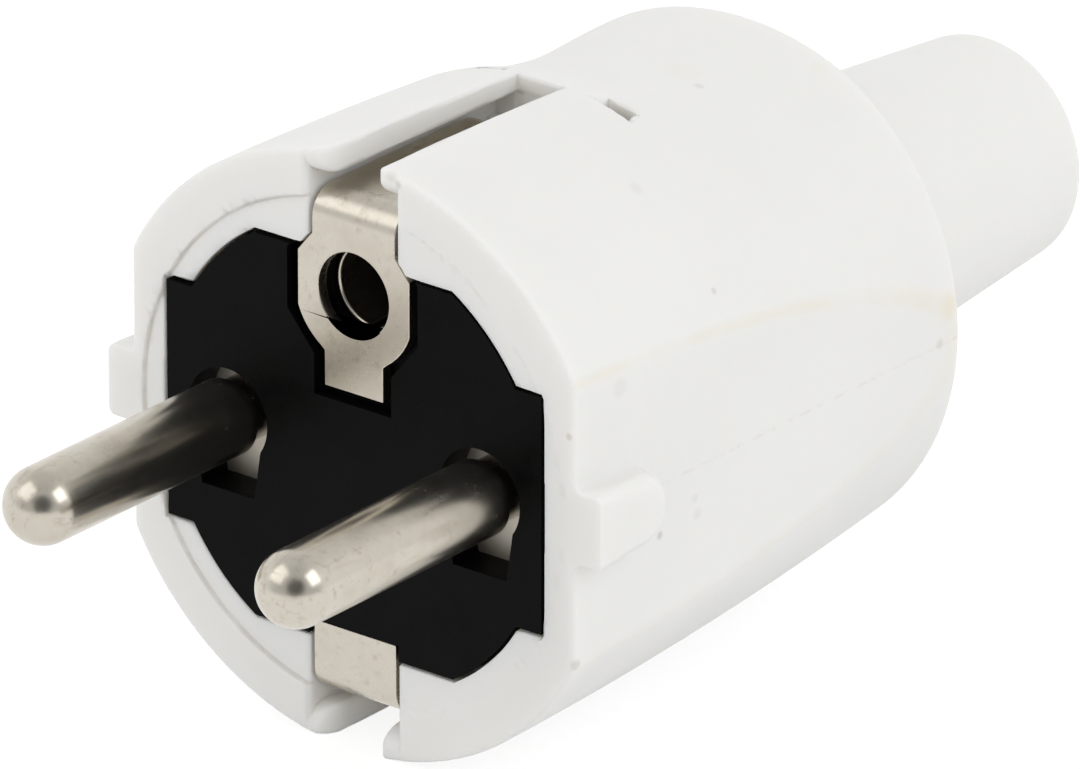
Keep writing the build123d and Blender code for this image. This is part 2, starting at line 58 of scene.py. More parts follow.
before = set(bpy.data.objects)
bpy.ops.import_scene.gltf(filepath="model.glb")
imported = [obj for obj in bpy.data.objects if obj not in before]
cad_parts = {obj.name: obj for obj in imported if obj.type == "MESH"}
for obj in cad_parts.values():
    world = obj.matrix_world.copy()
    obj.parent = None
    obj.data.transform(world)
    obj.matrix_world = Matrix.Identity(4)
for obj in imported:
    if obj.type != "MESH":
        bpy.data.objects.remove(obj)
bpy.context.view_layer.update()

MM = 0.001
BODY = "root"

# Millimetres. The black face: a round plate with straight sides, a band across it, and its seat.
PLATE_RADIUS, PLATE_HALF_WIDTH, PLATE_HALF_HEIGHT = 14.3, 14.15, 12.2
BAND_HALF_WIDTH, BAND_HALF_HEIGHT = 14.1, 7.5
SEAT_GAP, SEAT_DEPTH = 0.2, 2.5

# The rim's notch for the front plate's neck. Below NECK_LOW it widens by NECK_FLARE per millimetre.
NECK_BOTTOM, NECK_TOP, NECK_HALF_WIDTH, NECK_DEPTH = 11, 16, 3.3, 1.1
NECK_LOW, NECK_FLARE, NECK_FLARE_HEIGHT = 13.3, 0.85, 1.3

# The housing's hollow: distances from the front rim, then how wide it is.
STRAP_REAR, BLOCK_REAR = 16.8, 18.8
HOLLOW_FRONT, CHAMBER_REAR, CABLE_BORE_FRONT = 18.4, 28.0, 33.0
BLOCK_INSET, CHAMBER_RADIUS, CABLE_BORE_RADIUS = 0.8, 13.3, 4.6

POCKET_SLOPE = math.radians(45.0)

# The earth hole, the arc of the front plate's sides round it, and the plate's rear.
HOLE_HEIGHT, ARC_RADIUS, ARC_BOTTOM, ARC_TOP, PLATE_REAR = 10.1, 4.5, 6.1, 8.5, 1.05

# The picture's size, the part's origin in it and the focal length, in pixels; then the camera's
# distance in metres, and its azimuth and elevation in degrees.
IMAGE_WIDTH, IMAGE_HEIGHT = 1080, 769
ORIGIN_ACROSS, ORIGIN_DOWN, FOCAL_LENGTH = 351.74, 456.64, 17141
CAMERA_DISTANCE, CAMERA_AZIMUTH, CAMERA_ELEVATION = 1.0, 38.804, 23.225

# The way from the plug to the dark part of the room that the pins mirror.
DARK_WAY = (0.576, -0.716, 0.394)

# The housing's single marks: centre and radius in millimetres, strength, and the colour's name.
HOUSING_MARKS = (
    ((16.65, 4.2, 7.45), 0.85, 0.10, "grime_and_shade"),
    ((10.38, 13.54, 15.29), 0.60, 0.12, "grime_and_shade"),
    ((16.65, 11.25, -1.9), 0.40, 0.12, "grime_and_shade"),
    ((16.65, 11.45, -3.0), 0.50, 0.12, "grime_and_shade"),
    # Behind the right key rib's lower rear end: painted shadow of the rib, partly dirt.
    ((16.65, 7.95, -3.15), 0.38, 0.40, "grime_and_shade"),
    ((15.56, 14.33, 9.89), 0.30, 0.28, "grime_and_shade"),
    ((16.24, 0.0, 5.65), 0.32, 0.35, "grime_and_shade"),
    ((16.63, 0.2, -8.75), 0.50, 0.35, "grime_and_shade"),
    ((16.65, 34.6, 0.1), 0.45, 0.25, "grime_and_shade"),
    ((16.6, 35.6, 2.2), 1.20, 0.40, "yellowed"),
    ((4.1, 27.4, 15.7), 0.45, 0.22, "grime_and_shade"),
    ((2.2, 28.2, 16.0), 1.80, 0.12, "yellowed"),
    ((3.0, 0.0, 18.45), 0.55, 0.22, "grime_and_shade"),
    ((3.55, 0.0, 18.1), 0.35, 0.35, "grime_and_shade"),
    ((6.78, 35.4, 15.0), 0.70, 0.15, "yellowed"),
    # In the right latch pocket: painted shade of the pocket.
    ((4.9, 18.7, 16.6), 1.50, 0.30, "grime_and_shade"),
)


def length(name, description, default_mm):
    """A length property: its default is given in millimetres, and it is kept in metres."""
    return bpy.props.FloatProperty(
        name=name,
        description=description,
        default=default_mm * MM,
        min=0.0,
        subtype="DISTANCE",
        unit="LENGTH",
        precision=5,
    )


def colour(name, description, default):
    """A colour property, linear red, green and blue."""
    return bpy.props.FloatVectorProperty(
        name=name,
        description=description,
        default=default,
        size=3,
        min=0.0,
        max=1.0,
        subtype="COLOR",
    )


class PlugHousingSizes(bpy.types.PropertyGroup):
    """Sizes of the white housing."""

    face_radius: length("Face radius", "Barrel radius at the front rim", 18.9)
    shoulder_radius: length("Shoulder radius", "Barrel radius at the rear shoulder", 16.6)
    body_length: length("Barrel length", "From the front rim to the shoulder", 36.9)
    body_swell: length("Swell", "How far the barrel bulges outside a cone", 0.45)
    flat_half_width: length("Flat", "From the axis to each side flat", 16.65)
    front_edge: length("Front edge", "Radius of the front rim's outer edge", 0.25)
    rear_edge: length("Rear edge", "Radius of the shoulder's edge", 0.8)
    flat_edge: length("Flat edge", "Radius of the crease round each flat", 1.5)
    spout_root_radius: length("Spout root", "Spout radius at the shoulder", 9.3)
    spout_end_radius: length("Spout end", "Spout radius at the cable's end", 7.2)
    spout_length: length("Spout length", "From the shoulder to the spout's end", 24.3)
    spout_root_fillet: length("Spout fillet", "Radius between spout and shoulder", 0.8)
    spout_end_fillet: length("Spout end edge", "Radius of the spout's end", 0.75)
    rib_reach: length("Rib reach", "From the axis to a key rib's outer face", 18.6)
    rib_half_height: length("Rib half height", "Half a key rib's height", 2.3)
    rib_length: length("Rib length", "From the front rim to a key rib's rear end", 6.6)
    rib_fillet: length("Rib fillet", "Radius of a key rib's edges", 0.5)
    scoop_middle: length("Scoop middle", "Where the scooped top is lowest", 31.0)
    scoop_radius: length("Scoop radius", "Radius of the scoop seen from the side", 38.0)
    scoop_top: length("Scoop top", "Height of the scooped top at its lowest", 15.95)
    scoop_drop: length("Scoop drop", "How far the scoop's axis lies low", 3.2)
    recess_radius: length("Rim recess", "Radius of the shallow recess in the rim", 15.9)
    recess_depth: length("Recess depth", "Depth of the recess in the rim", 0.22)
    slot_half_width: length("Slot half width", "Half an earth slot's width under its lips", 3.4)
    slot_length: length("Slot length", "From the front rim to an earth slot's end", 17.6)
    slot_floor: length("Slot floor", "From the axis to the slot's floor behind the strip", 15.2)
    lip_gap_half_width: length("Lip gap", "Half the gap between a slot's lips, at the front", 2.1)
    lip_gap_taper: length("Lip gap taper", "How much nearer each lip stands at the rear", 0.35)
    lip_underside: length("Lip underside", "From the axis to the underside of the lips", 16.9)
    left_nose_width: length("Left nose width", "How far in the left lips' ends are round", 1.3)
    left_nose_length: length("Left nose length", "How far back the left lips' ends are round", 1.9)
    right_nose_width: length("Right nose width", "How far in the right lips' ends are round", 0.25)
    right_nose_length: length("Right nose length", "How far back the right ones are round", 0.3)
    lip_lead_length: length("Lip lead", "Over what length the lips grow thinner", 1.7)
    lip_lead_height: length("Lip thinning", "How much thinner the lips are at the front", 1.4)
    pocket_offset: length("Pocket offset", "From the middle to a latch pocket", 4.9)
    pocket_radius: length("Pocket radius", "Radius of a latch pocket", 1.8)
    pocket_front: length("Pocket front", "Where a latch pocket's front wall is", 18.1)
    pocket_rear: length("Pocket rear", "Where a latch pocket runs out", 19.3)
    window_half_width: length("Window half width", "Half the width of a latch's window", 1.1)
    window_length: length("Window length", "Length of a latch's window", 1.1)
    small_edge: length("Small edges", "Radius of the slots' and pockets' edges", 0.2)


class PlugMetalSizes(bpy.types.PropertyGroup):
    """Sizes of the pins and of the finer edges."""

    pin_radius: length("Pin radius", "Radius of both pins", 2.4)
    pin_neck_radius: length("Neck radius", "Radius of the pins behind the rim", 2.0)
    pin_offset: length("Pin offset", "From the axis to each pin", 9.5)
    pin_projection: length("Pin length", "From the front rim to the pins' tips", 19.0)
    pin_seat: length("Pin seat", "From the front rim to the pins' shoulders", 2.5)
    spigot_radius: length("Spigot radius", "Radius of the pins' rear spigots", 1.75)
    spigot_length: length("Spigot length", "Length of the pins' rear spigots", 3.8)
    strip_edge: length("Strip edge", "Bevel of the earth strip's edges", 0.08)
    face_edge: length("Face edge", "Bevel of the black face's edges", 0.12)


class PlugColours(bpy.types.PropertyGroup):
    """Colours of the finishes."""

    white: colour("Housing", "Soft white moulding", (0.84, 0.835, 0.815))
    # The yellowed tint also goes into the hollows, where it stands partly for painted shade.
    yellowed: colour("Yellowed", "White that has yellowed along creases", (0.78, 0.72, 0.54))
    # A dirt colour, which also paints shade along the rim's recess, in a latch pocket and behind a
    # key rib.
    grime_and_shade: colour("Grime", "Dirt in the housing's corners", (0.42, 0.37, 0.30))
    black: colour("Face", "Hard black moulding", (0.0020, 0.0021, 0.0022))
    nickel: colour("Nickel", "Nickel plating", (0.62, 0.58, 0.505))
    tarnish: colour("Tarnish", "Worn and tarnished plating", (0.34, 0.28, 0.21))
    steel: colour("Steel", "Zinc plated screws", (0.60, 0.60, 0.58))
    floor: colour("Floor", "Pale floor", (0.86, 0.86, 0.86))


def in_millimetres(group):
    """All lengths of a property group, in millimetres and by name."""
    return SimpleNamespace(**{name: getattr(group, name) / MM for name in group.__annotations__})


def rounded_meet(a, b, radius):
    """Distance to the space that two solids share, its edge rounded.

    It is the larger distance, but near both faces it is the distance from a circle's middle that
    lies `radius` inside both.
    """
    return np.minimum(np.maximum(a, b), -radius) + np.hypot(
        np.maximum(a + radius, 0), np.maximum(b + radius, 0)
    )


def rounded_wedge(a, b, cosine, radius):
    """Distance to the space that two solids share, whose faces meet at any angle, edge rounded.

    `cosine` is that of the angle between the two faces' outward directions. The circle's middle
    lies `radius` inside both; beside the wedge that it opens, the larger distance counts.
    """
    a, b = a + radius, b + radius
    near_edge = (a > cosine * b) & (b > cosine * a)
    squared = (a * a + b * b - 2 * cosine * a * b) / np.maximum(1 - cosine * cosine, 1e-9)
    return np.where(near_edge, np.sqrt(np.maximum(squared, 0)), np.maximum(a, b)) - radius


def rounded_join(a, b, radius):
    """Distance to two solids joined, the inner corner between them filled to `radius`."""
    return -rounded_meet(-a, -b, radius)


def rounded_cut(a, b, radius):
    """Distance to solid a with solid b taken out of it, the new edge rounded."""
    return rounded_meet(a, -b, radius)


def ease(share):
    """A smooth step from 0 to 1: three times the square less twice the cube."""
    share = np.clip(share, 0, 1)
    return share * share * (3 - 2 * share)


def barrel_skin(sizes, x, y, z):
    """Distances to the barrel's turned side and to its two flats.

    The side's radius is a straight cone from face to shoulder plus a parabola.
    """
    part_way = np.clip(y / sizes.body_length, 0, 1)
    cone = sizes.face_radius + (sizes.shoulder_radius - sizes.face_radius) * part_way
    radius = cone + 4 * sizes.body_swell * part_way * (1 - part_way)
    return np.hypot(x, z) - radius, np.abs(x) - sizes.flat_half_width


def housing_outside(sizes, x, y, z):
    """Distance to the housing before anything is cut out of it.

    Barrel side and flats meet in a soft crease, each key rib is a bar with a round rear end joined
    by a fillet, the front rim and the shoulder are planes with rounded edges, the rear top is
    scooped by a ring turned about a lower axis, and the spout is a rounded cone.
    """
    side, flat = barrel_skin(sizes, x, y, z)
    cosine = np.minimum(np.abs(x) / np.maximum(np.hypot(x, z), 1e-6), 0.99999)
    skin = rounded_wedge(side, flat, cosine, sizes.flat_edge)

    plan = np.hypot(np.maximum(y - (sizes.rib_length - sizes.rib_half_height), 0), z)
    softer = sizes.rib_fillet * (1 + 0.8 * ease((y - 0.6) / 3))
    rib = rounded_meet(np.abs(x) - sizes.rib_reach, plan - sizes.rib_half_height, softer)
    skin = rounded_join(skin, rib, softer)

    reach = sizes.scoop_top + sizes.scoop_drop + sizes.scoop_radius
    ring = np.hypot(np.hypot(x, z + sizes.scoop_drop) - reach, y - sizes.scoop_middle)
    skin = rounded_cut(skin, ring - sizes.scoop_radius, 0.3)

    near_rib = np.exp(-((z / (1.3 * sizes.rib_half_height)) ** 4)) * ease((np.abs(x) - 15) / 2)
    skin = rounded_meet(skin, -y, sizes.front_edge * (1 - 0.55 * near_rib))
    skin = rounded_meet(skin, y - sizes.body_length, sizes.rear_edge)

    root, end = sizes.spout_root_radius, sizes.spout_end_radius
    along = (y - sizes.body_length) / sizes.spout_length
    cone = np.hypot(x, z) - (root + (end - root) * along)
    past_end = y - sizes.body_length - sizes.spout_length
    spout = rounded_meet(cone, past_end, sizes.spout_end_fillet)
    spout = np.maximum(spout, sizes.body_length - sizes.spout_root_fillet * 4 - y)
    return rounded_join(skin, spout, sizes.spout_root_fillet)


def scooped_height(sizes, x, y):
    """Height of the scooped rear top at one place."""
    reach = sizes.scoop_top + sizes.scoop_drop + sizes.scoop_radius
    reach -= math.sqrt(sizes.scoop_radius**2 - (y - sizes.scoop_middle) ** 2)
    return math.sqrt(reach**2 - x * x) - sizes.scoop_drop


def carrier_outline(x, z, grow):
    """Distance, seen from the front, to the black face's outline: a flatted circle and a band."""
    cuts = np.maximum(np.abs(z) - PLATE_HALF_HEIGHT, np.abs(x) - PLATE_HALF_WIDTH)
    plate = np.maximum(np.hypot(x, z) - PLATE_RADIUS, cuts)
    band = np.maximum(np.abs(x) - BAND_HALF_WIDTH, np.abs(z) - BAND_HALF_HEIGHT)
    return np.minimum(plate, band) - grow


def lip_gap(sizes, x, y):
    """Distance, seen from above, to the gap between a slot's lips.

    It narrows evenly to the rear. Each lip's front corner is a quarter of an ellipse: its distance
    is the root of (across / width) squared plus (along / reach) squared, less one, over that root's
    slope. The worn left lips are rounder.
    """
    half = sizes.lip_gap_half_width - sizes.lip_gap_taper * np.clip(y / sizes.slot_length, 0, 1)
    width = np.where(x < 0, sizes.left_nose_width, sizes.right_nose_width)
    reach = np.where(x < 0, sizes.left_nose_length, sizes.right_nose_length)
    across, along = half + width - np.abs(x), reach - y
    root = np.maximum(np.hypot(across / width, along / reach), 1e-6)
    slope = np.hypot(across / width**2, along / reach**2) / root
    corner = (root - 1) / np.maximum(slope, 1e-6)
    lip = np.where((across > 0) & (along > 0), corner, np.maximum(half - np.abs(x), -y))
    return np.maximum(-lip, np.abs(x) - sizes.slot_half_width)


def lip_underside(sizes, y):
    """Height of the lips' underside: level, then a quarter of an ellipse at their front ends."""
    share = np.clip((sizes.lip_lead_length - y) / sizes.lip_lead_length, 0, 1)
    return sizes.lip_underside + sizes.lip_lead_height * (1 - np.sqrt(1 - share * share))


def housing_distance(sizes, x, y, z):
    """Distance to the finished housing: its outside less its recesses, slots, pockets and bore.

    A cut takes the larger of the solid's distance and the cutter's, negated, and rounds the edge.
    """
    r, up, small = np.hypot(x, z), np.abs(z), sizes.small_edge
    solid = housing_outside(sizes, x, y, z)

    beyond, below = y - sizes.slot_length, sizes.slot_floor - up
    gap = np.maximum(np.maximum(lip_gap(sizes, x, y), beyond), below)
    under_lips = np.maximum(np.abs(x) - sizes.slot_half_width, up - lip_underside(sizes, y))
    behind_strap = np.maximum(np.maximum(under_lips, below), beyond)
    channel = np.minimum(np.maximum(under_lips, y - STRAP_REAR), behind_strap)
    nose = small + np.where(x < 0, 0.3, 0.0) * (1 - ease(y / 2.2))
    solid = rounded_cut(solid, rounded_join(gap, channel, nose), small)

    front, rear, radius = sizes.pocket_front, sizes.pocket_rear, sizes.pocket_radius
    aside = np.abs(x) - sizes.pocket_offset
    height = scooped_height(sizes, sizes.pocket_offset, rear) + radius / math.cos(POCKET_SLOPE)
    height = height + (y - rear) * math.tan(POCKET_SLOPE)
    bore = np.hypot(aside, (z - height) * math.cos(POCKET_SLOPE)) - radius
    solid = rounded_cut(solid, np.maximum(bore, front - y), 0.3)
    window = np.maximum(np.abs(aside) - sizes.window_half_width, front - y)
    window = np.maximum(window, y - front - sizes.window_length)
    solid = np.maximum(solid, -np.maximum(window, -z))

    depth = sizes.recess_depth * (1 - 0.8 * ease((x + 2) / 8))
    recess = rounded_meet(r - sizes.recess_radius, y - depth, 0.1)
    solid = rounded_cut(solid, recess, 0.12)
    flare = NECK_FLARE * np.clip(NECK_LOW - z, 0, NECK_FLARE_HEIGHT)
    notch = np.maximum(np.abs(x) - NECK_HALF_WIDTH - flare, y - NECK_DEPTH)
    solid = np.maximum(solid, -np.maximum(notch, np.maximum(NECK_BOTTOM - z, z - NECK_TOP)))
    seat = np.maximum(carrier_outline(x, z, SEAT_GAP), y - SEAT_DEPTH)
    solid = rounded_cut(solid, seat, small / 3)
    block = np.maximum(carrier_outline(x, z, -BLOCK_INSET), y - BLOCK_REAR)
    solid = np.maximum(solid, -block)

    stops = [BLOCK_REAR, CHAMBER_REAR, CABLE_BORE_FRONT]
    radii = [CHAMBER_RADIUS, CHAMBER_RADIUS, CABLE_BORE_RADIUS]
    bore = np.maximum((r - np.interp(y, stops, radii)) * 0.7, HOLLOW_FRONT - y)
    return rounded_cut(solid, bore, 0.6)


def graded(stops, steps):
    """Places along one axis: between each two stops they stand evenly, about `step` apart."""
    runs = [
        np.linspace(low, high, max(1, int(round((high - low) / step))) + 1)[:-1]
        for low, high, step in zip(stops[:-1], stops[1:], steps)
    ]
    return np.concatenate(runs + [stops[-1:]])


def both_ways(places):
    """Places on the positive side, mirrored to the negative side."""
    return np.concatenate([-places[:0:-1], places])


def zero_surface(distance, xs, ys, zs):
    """Points and four-cornered faces of the surface on which a distance is zero.

    Each grid edge whose ends lie on both sides crosses the surface once. There stands a small
    plane, square to the distance's slope, and a face that joins the points of the four cells round
    the edge. Each cell's point is where its planes meet best: the least squares of the distances to
    them, with a light pull to the mean of the crossings, kept inside the cell. So sharp edges stay
    sharp.
    """
    grid = (xs, ys, zs)
    value = distance(xs[:, None, None], ys[None, :, None], zs[None, None, :])
    value = np.broadcast_to(value, (len(xs), len(ys), len(zs)))
    inside = value < 0
    cells = np.array([n - 1 for n in inside.shape])
    total = int(cells.prod())
    sums = np.zeros((13, total))
    rings = []
    for axis in range(3):
        lead, side = (axis + 1) % 3, (axis + 2) % 3
        low = np.take(inside, range(inside.shape[axis] - 1), axis)
        high = np.take(inside, range(1, inside.shape[axis]), axis)
        where = np.array(np.nonzero(low != high))
        middle = (where[lead] > 0) & (where[side] > 0)
        middle &= (where[lead] < cells[lead]) & (where[side] < cells[side])
        where = where[:, middle]
        after = where.copy()
        after[axis] += 1
        at_low, at_high = value[tuple(where)], value[tuple(after)]
        share = at_low / (at_low - at_high)
        place = np.stack([grid[n][where[n]] for n in range(3)], 1)
        place[:, axis] += share * (grid[axis][after[axis]] - grid[axis][where[axis]])
        normal = unit(slope_at(distance, place))
        offset = (normal * place).sum(1)
        pairs = ((0, 0), (0, 1), (0, 2), (1, 1), (1, 2), (2, 2))
        parts = [normal[:, a] * normal[:, b] for a, b in pairs]
        parts += [normal[:, n] * offset for n in range(3)]
        parts += [place[:, n] for n in range(3)] + [np.ones(len(place))]
        ring = []
        for step_lead, step_side in ((-1, -1), (0, -1), (0, 0), (-1, 0)):
            cell = where.copy()
            cell[lead] += step_lead
            cell[side] += step_side
            flat = np.ravel_multi_index(cell, cells)
            ring.append(flat)
            for row, part in enumerate(parts):
                sums[row] += np.bincount(flat, part, total)
        ring = np.stack(ring, 1)
        rings.append(np.where(low[tuple(where)][:, None], ring, ring[:, ::-1]))
    used = np.nonzero(sums[12])[0]
    sums = sums[:, used]
    mean = (sums[9:12] / sums[12]).T
    square = sums[[0, 1, 2, 1, 3, 4, 2, 4, 5]].T.reshape(-1, 3, 3)
    pull = 0.05 * np.eye(3)
    left_over = sums[6:9].T - (square @ mean[:, :, None])[:, :, 0]
    points = mean + np.linalg.solve(square + pull, left_over[:, :, None])[:, :, 0]
    corner = np.unravel_index(used, cells)
    for n in range(3):
        points[:, n] = np.clip(points[:, n], grid[n][corner[n]], grid[n][corner[n] + 1])
    number = np.full(total, -1, np.int64)
    number[used] = np.arange(len(used))
    return points, number[np.concatenate(rings)]


def slope_at(distance, points, step=0.01):
    """The distance's slope along X, Y and Z at each point, by central differences."""
    slopes = []
    for axis in range(3):
        shift = np.zeros(3)
        shift[axis] = step
        ahead, behind = (points + shift).T, (points - shift).T
        slopes.append((distance(*ahead) - distance(*behind)) / (2 * step))
    return np.stack(slopes, 1)


def settle(distance, points, reach, rounds=4):
    """Moves points along the distance's slope until it is zero, each by no more than `reach`."""
    start = points.copy()
    for _ in range(rounds):
        slope = slope_at(distance, points)
        size = np.maximum((slope**2).sum(1), 0.05)
        points = points - (distance(*points.T) / size)[:, None] * slope
        points = start + np.clip(points - start, -reach, reach)
    return points


def unit(vectors):
    """Vectors scaled to length one."""
    return vectors / np.maximum(np.linalg.norm(vectors, axis=1), 1e-9)[:, None]


def new_piece(name, points, faces, normals=None):
    """A mesh object from points in millimetres, on the plug's body."""
    mesh = bpy.data.meshes.new(name)
    mesh.from_pydata(points * MM, [], faces)
    mesh.polygons.foreach_set("use_smooth", np.ones(len(mesh.polygons), bool))
    if normals is not None:
        mesh.normals_split_custom_set_from_vertices(normals)
    mesh.update()
    piece = bpy.data.objects.new(name, mesh)
    bpy.context.scene.collection.objects.link(piece)
    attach(piece, BODY)
    return piece


def point_mask(piece, name, values):
    """Stores one number per point of a piece, for its material."""
    attribute = piece.data.attributes.new(name, "FLOAT", "POINT")
    attribute.data.foreach_set("value", values.astype(np.float32))


def lathe(profile, centre_x, segments):
    """Points and faces of a piece turned about an axis along Y: a profile of (radius, y).

    Row after row of points stands on circles, x = centre + radius cos angle and z = radius sin
    angle, and a single point closes each end.
    """
    profile = np.array(profile)
    angle = np.linspace(0, 2 * math.pi, segments, endpoint=False)
    radius, place = profile[:, :1], profile[:, 1:]
    ring = np.stack(
        np.broadcast_arrays(centre_x + radius * np.cos(angle), place, radius * np.sin(angle)), 2
    )
    rows = len(profile)
    points = ring.reshape(-1, 3)
    row, column = np.meshgrid(np.arange(rows - 1), np.arange(segments), indexing="ij")
    after = (column + 1) % segments
    first, second = row * segments, (row + 1) * segments
    faces = np.stack([first + column, second + column, second + after, first + after], 2)
    faces = faces.reshape(-1, 4).tolist()
    ends = np.array([[centre_x, profile[0, 1], 0], [centre_x, profile[-1, 1], 0]])
    around = np.arange(segments)
    following = (around + 1) % segments
    last = (rows - 1) * segments
    low = np.stack([np.full(segments, rows * segments), around, following], 1)
    high = np.stack([np.full(segments, rows * segments + 1), last + following, last + around], 1)
    return np.concatenate([points, ends]), faces + low.tolist() + high.tolist()


def round_plate(work):
    """Rounds the lower sides of the strip's front plate into an arc round its hole.

    The slanting edges get new points, and each moves sideways to the circle: its distance from the
    middle is the root of radius squared less height squared.
    """
    beside, near = 2 * MM, 0.1 * MM
    low, high = ARC_BOTTOM * MM, ARC_TOP * MM

    def outer(point):
        return point.co.y < PLATE_REAR * MM and abs(point.co.x) > beside

    def slanting(edge):
        heights = sorted(point.co.z for point in edge.verts)
        return abs(heights[0] - low) < near and abs(heights[1] - high) < near

    sides = [edge for edge in work.edges if all(map(outer, edge.verts)) and slanting(edge)]
    if len(sides) != 4:
        raise RuntimeError(f"the plate has {len(sides)} slanting edges, not 4")
    bmesh.ops.subdivide_edges(work, edges=sides, cuts=8)
    for point in work.verts:
        if outer(point) and low + near / 2 < point.co.z < high - near / 2:
            height = point.co.z - HOLE_HEIGHT * MM
            point.co.x = math.copysign(math.sqrt((ARC_RADIUS * MM) ** 2 - height**2), point.co.x)


def straighten_sides(work):
    """Moves the face piece's round sides in to the straight sides of its band."""
    for point in work.verts:
        if abs(point.co.x) > BAND_HALF_WIDTH * MM:
            point.co.x = math.copysign(BAND_HALF_WIDTH * MM, point.co.x)


def beveled_copy(node, name, width, reshape=None):
    """A merged copy of a CAD node, reshaped and finely beveled, which stands for the node."""
    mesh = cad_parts[node].data.copy()
    mesh.name = name
    work = bmesh.new()
    work.from_mesh(mesh)
    bmesh.ops.remove_doubles(work, verts=work.verts, dist=0.002 * MM)
    bmesh.ops.dissolve_limit(
        work, angle_limit=math.radians(0.5), verts=work.verts, edges=work.edges
    )
    if reshape is not None:
        reshape(work)
    work.to_mesh(mesh)
    work.free()
    mesh.materials.clear()
    if mesh.has_custom_normals:
        mesh.attributes.remove(mesh.attributes["custom_normal"])
    mesh.polygons.foreach_set("use_smooth", np.ones(len(mesh.polygons), bool))
    piece = bpy.data.objects.new(name, mesh)
    bpy.context.scene.collection.objects.link(piece)
    bevel = piece.modifiers.new("edges", "BEVEL")
    bevel.width = width
    bevel.segments = 2
    bevel.limit_method = "ANGLE"
    bevel.angle_limit = math.radians(32)
    bevel.use_clamp_overlap = True
    weighted = piece.modifiers.new("shading", "WEIGHTED_NORMAL")
    weighted.keep_sharp = True
    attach(piece, BODY)
    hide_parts(node)
    return piece


def feed(tree, socket, value):
    """Gives a node's input a value: another node's output, a number or a row of numbers."""
    if isinstance(value, bpy.types.NodeSocket):
        tree.links.new(value, socket)
    else:
        socket.default_value = value


def add(tree, kind, settings=None, **values):
    """A new shader node: `settings` are its options, and `values` its inputs, _ for a space."""
    made = tree.nodes.new("ShaderNode" + kind)
    for key, value in (settings or {}).items():
        setattr(made, key, value)
    for key, value in values.items():
        feed(tree, made.inputs[key.replace("_", " ")], value)
    return made


def maths(tree, operation, first, second=None, clamp=False):
    """The result of a Math node on two sockets or numbers."""
    made = add(tree, "Math", {"operation": operation, "use_clamp": clamp})
    feed(tree, made.inputs[0], first)
    if second is not None:
        feed(tree, made.inputs[1], second)
    return made.outputs[0]


def times(tree, first, second):
    """The product of two sockets or numbers."""
    return maths(tree, "MULTIPLY", first, second)


def remap(tree, value, low, high, to_low=0.0, to_high=1.0):
    """A value carried smoothly from one range to another."""
    made = add(
        tree,
        "MapRange",
        {"interpolation_type": "SMOOTHSTEP", "clamp": True},
        Value=value,
        From_Min=low,
        From_Max=high,
        To_Min=to_low,
        To_Max=to_high,
    )
    return made.outputs["Result"]


def blend_colours(tree, factor, first, second):
    """One colour mixed into another by a factor; each is a socket or three numbers."""
    made = add(tree, "Mix", {"data_type": "RGBA"})
    feed(tree, made.inputs[0], factor)
    for socket, value in ((made.inputs[6], first), (made.inputs[7], second)):
        feed(tree, socket, value if isinstance(value, bpy.types.NodeSocket) else (*value, 1.0))
    return made.outputs[2]


def effect(name, inputs, output):
    """A node group's tree, inputs and one number output; an input's None stands for a vector."""
    tree = bpy.data.node_groups.new(name, "ShaderNodeTree")
    for label, default in inputs:
        kind = "NodeSocketVector" if default is None else "NodeSocketFloat"
        made = tree.interface.new_socket(label, in_out="INPUT", socket_type=kind)
        if default is not None:
            made.default_value = default
    tree.interface.new_socket(output, in_out="OUTPUT", socket_type="NodeSocketFloat")
    given = tree.nodes.new("NodeGroupInput").outputs
    return tree, given, tree.nodes.new("NodeGroupOutput").inputs[0]


def specks_effect():
    """Small round specks at random places: Size is their width, Share how many cells have one."""
    inputs = [("Vector", None), ("Scale", 1000.0), ("Size", 0.1), ("Share", 0.1)]
    tree, given, result = effect("Scattered specks", inputs, "Mask")
    cells = add(tree, "TexVoronoi", Vector=given["Vector"], Scale=given["Scale"])
    split = add(tree, "SeparateColor", Color=cells.outputs["Color"])
    chosen = maths(tree, "LESS_THAN", split.outputs["Red"], given["Share"])
    width = times(tree, given["Size"], split.outputs["Green"])
    near = maths(tree, "SUBTRACT", width, cells.outputs["Distance"])
    soft = maths(tree, "DIVIDE", near, times(tree, given["Size"], 0.35), clamp=True)
    tree.links.new(times(tree, soft, chosen), result)
    return tree


def clouds_effect():
    """Soft cloudy variation between 0 and 1, from noise of a few sizes."""
    inputs = [("Vector", None), ("Scale", 100.0), ("Low", 0.4), ("High", 0.6)]
    tree, given, result = effect("Cloudy tone", inputs, "Tone")
    noise = add(
        tree,
        "TexNoise",
        Vector=given["Vector"],
        Scale=given["Scale"],
        Detail=4.0,
        Roughness=0.6,
    )
    tree.links.new(remap(tree, noise.outputs["Fac"], given["Low"], given["High"]), result)
    return tree


EFFECTS = {}


def use_effect(tree, name, **values):
    """Places one of the shared effects in a material, with its own values; gives its output."""
    makers = {"specks": specks_effect, "clouds": clouds_effect}
    if name not in EFFECTS:
        EFFECTS[name] = makers[name]()
    return add(tree, "Group", {"node_tree": EFFECTS[name]}, **values).outputs[0]


def cloudy(tree, vector, scale, low, high):
    """A cloudy tone that runs from 0 to 1 between two levels of its noise."""
    return use_effect(tree, "clouds", Vector=vector, Scale=scale, Low=low, High=high)


def speckled(tree, vector, scale, size, share):
    """Specks of a size, in a share of the places that the scale gives."""
    return use_effect(tree, "specks", Vector=vector, Scale=scale, Size=size, Share=share)


